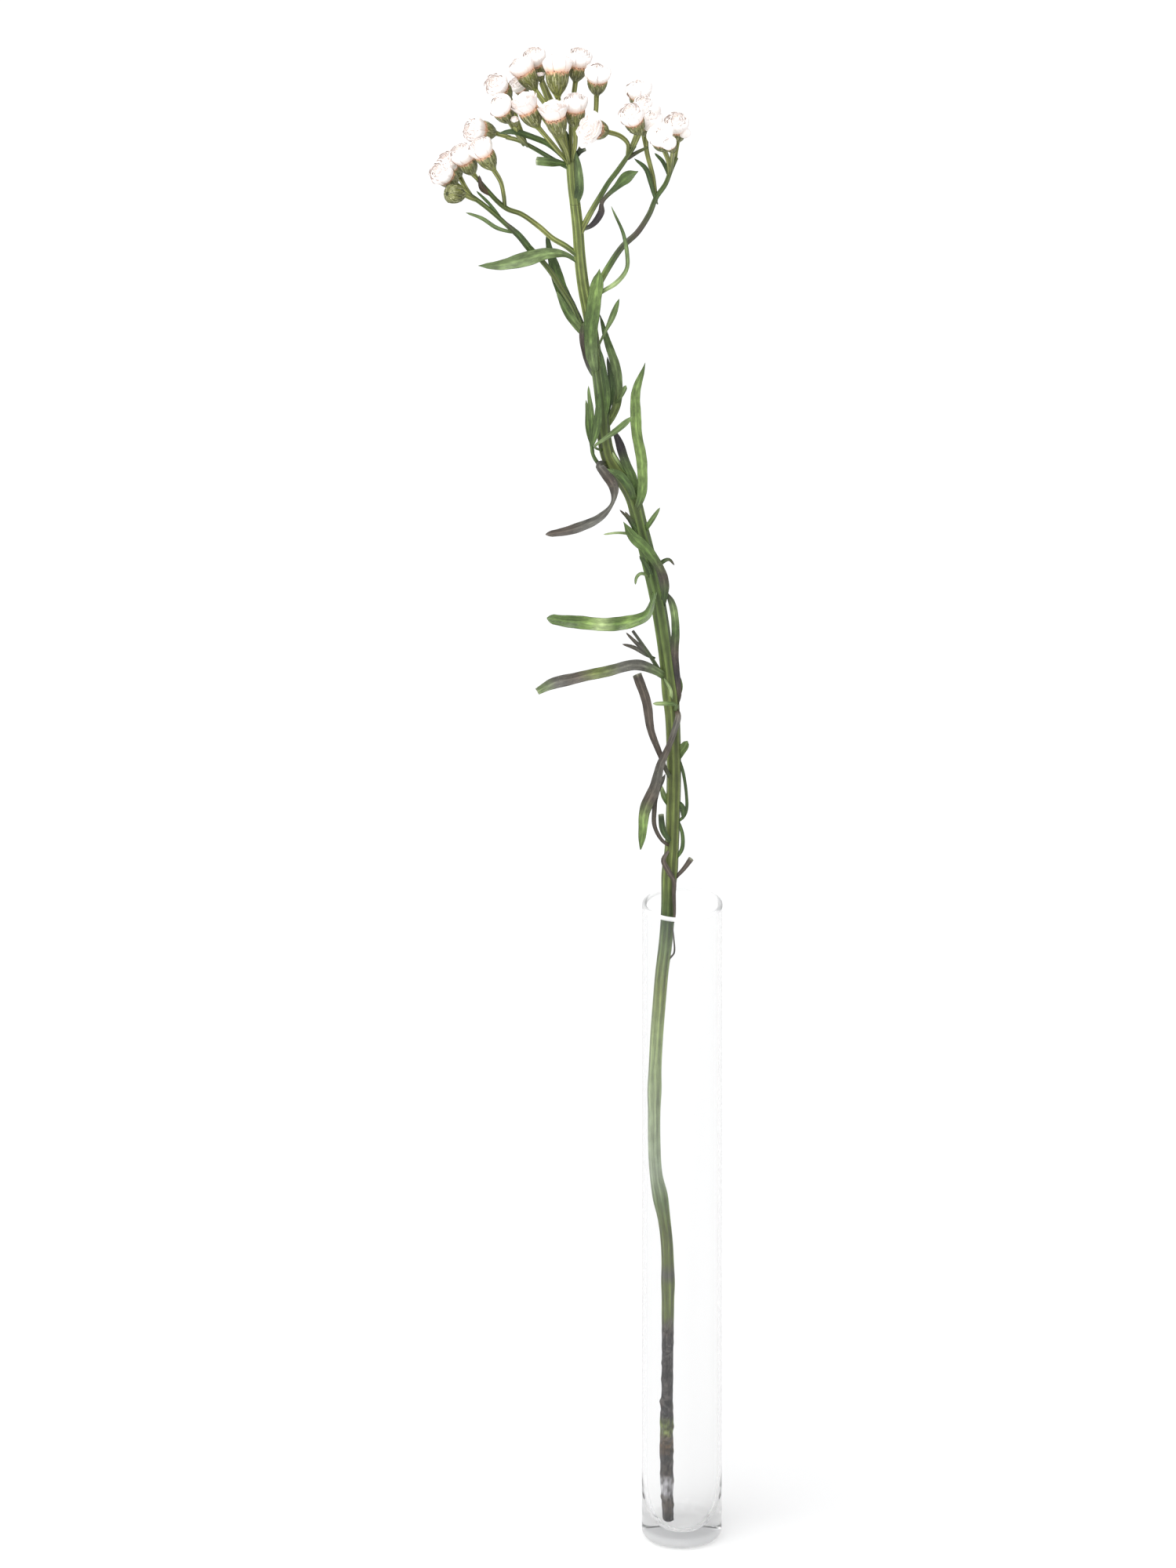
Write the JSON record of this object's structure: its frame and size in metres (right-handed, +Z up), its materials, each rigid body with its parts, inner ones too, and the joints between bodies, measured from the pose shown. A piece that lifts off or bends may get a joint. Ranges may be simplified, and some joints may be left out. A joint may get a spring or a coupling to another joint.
{
  "type": "dried ixodia stem in a tube vase",
  "caption": "Dried ixodia: a leafy ribbed stem that branches into clusters of small papery white heads, standing in a tall clear glass tube vase.",
  "frame": {"origin": "centre of the vase's flat underside", "axes": "+Z up along the vase's axis; the sprays spread towards -X; the broad faces of most leaves look towards -Y"},
  "size_m": [0.1087, 0.0455, 0.6024],
  "materials": {
    "clear_glass": "clear colourless glass, polished, with a thick base",
    "dried_stem": "dried ribbed stem and narrow leaves, olive green going purple-brown where withered, dark and scarred in the vase",
    "dried_spray": "dried green twigs, small leaves and bud cups of overlapping olive scales with brown tips",
    "papery_bract": "dry papery white bracts, softly translucent, faintly grey and pink in the folds"
  },
  "bodies": {
    "root": {"vase": "clear_glass", "leafy_stem": "dried_stem", "spray_low_left": "dried_spray", "crown_q": "papery_bract", "crown_r": "papery_bract", "spray_high_left": "dried_spray", "crown_o": "papery_bract", "crown_p": "papery_bract", "spray_middle": "dried_spray", "crown_a": "papery_bract", "crown_b": "papery_bract", "crown_c": "papery_bract", "crown_d": "papery_bract", "crown_e": "papery_bract", "crown_f": "papery_bract", "crown_g": "papery_bract", "crown_h": "papery_bract", "crown_i": "papery_bract", "crown_j": "papery_bract", "crown_l": "papery_bract", "crown_m": "papery_bract", "crown_bud_high": "papery_bract", "crown_bud_low": "papery_bract", "spray_inner_right": "dried_spray", "crown_v": "papery_bract", "crown_t": "papery_bract", "crown_k": "papery_bract", "spray_outer_right": "dried_spray", "crown_w": "papery_bract", "crown_u": "papery_bract", "crown_x": "papery_bract", "crown_y": "papery_bract", "crown_z": "papery_bract"}
  },
  "joints": []
}
